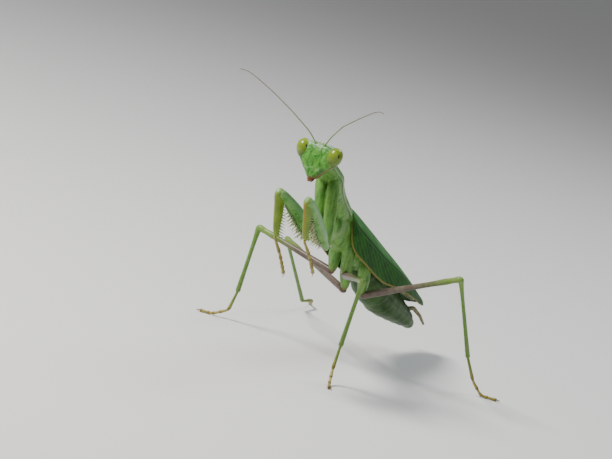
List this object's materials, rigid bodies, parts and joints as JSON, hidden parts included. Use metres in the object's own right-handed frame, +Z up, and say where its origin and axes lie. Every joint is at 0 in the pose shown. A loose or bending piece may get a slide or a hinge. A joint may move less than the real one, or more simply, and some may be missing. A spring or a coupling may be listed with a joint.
{
  "type": "praying mantis",
  "caption": "Life-size museum model of a green praying mantis standing alert, raptorial fore legs folded, wings closed.",
  "frame": {"origin": "on the floor, under the middle of the bounding box", "axes": "+Z up, -Y the way the mantis faces, +X her left side"},
  "size_m": [0.0452, 0.065, 0.0437],
  "materials": {
    "green_cuticle": "satin light-green cuticle",
    "mouthparts": "satin reddish brown",
    "eye": "glossy yellow-green with a dark false pupil",
    "feeler": "satin green fading to brown",
    "cercus": "matt yellowish grey",
    "tegmen": "satin deep green with pale veins",
    "hindwing": "thin, clear, folded",
    "fore_tibia": "satin olive-yellow",
    "walking_leg": "satin, mauve-brown on the thigh turning green at the knee and down the shin",
    "foot": "satin ochre"
  },
  "bodies": {
    "root": {"head": "green_cuticle", "mouthparts": "mouthparts", "eye_left": "eye", "eye_right": "eye", "antenna_left": "feeler", "antenna_right": "feeler", "neck": "green_cuticle", "prothorax": "green_cuticle", "thorax": "green_cuticle", "abdomen": "green_cuticle", "cercus_left": "cercus", "cercus_right": "cercus", "tegmen_left": "tegmen", "tegmen_right": "tegmen", "hindwing_left": "hindwing", "hindwing_right": "hindwing", "coxa_fore_left": "green_cuticle", "femur_fore_left": "green_cuticle", "tibia_fore_left": "fore_tibia", "tarsus_fore_left": "foot", "coxa_fore_right": "green_cuticle", "femur_fore_right": "green_cuticle", "tibia_fore_right": "fore_tibia", "tarsus_fore_right": "foot", "coxa_mid_left": "green_cuticle", "femur_mid_left": "walking_leg", "tibia_mid_left": "walking_leg", "tarsus_mid_left": "foot", "coxa_mid_right": "green_cuticle", "femur_mid_right": "walking_leg", "tibia_mid_right": "walking_leg", "tarsus_mid_right": "foot", "coxa_hind_left": "green_cuticle", "femur_hind_left": "walking_leg", "tibia_hind_left": "walking_leg", "tarsus_hind_left": "foot", "coxa_hind_right": "green_cuticle", "femur_hind_right": "walking_leg", "tibia_hind_right": "walking_leg", "tarsus_hind_right": "foot"}
  },
  "joints": []
}
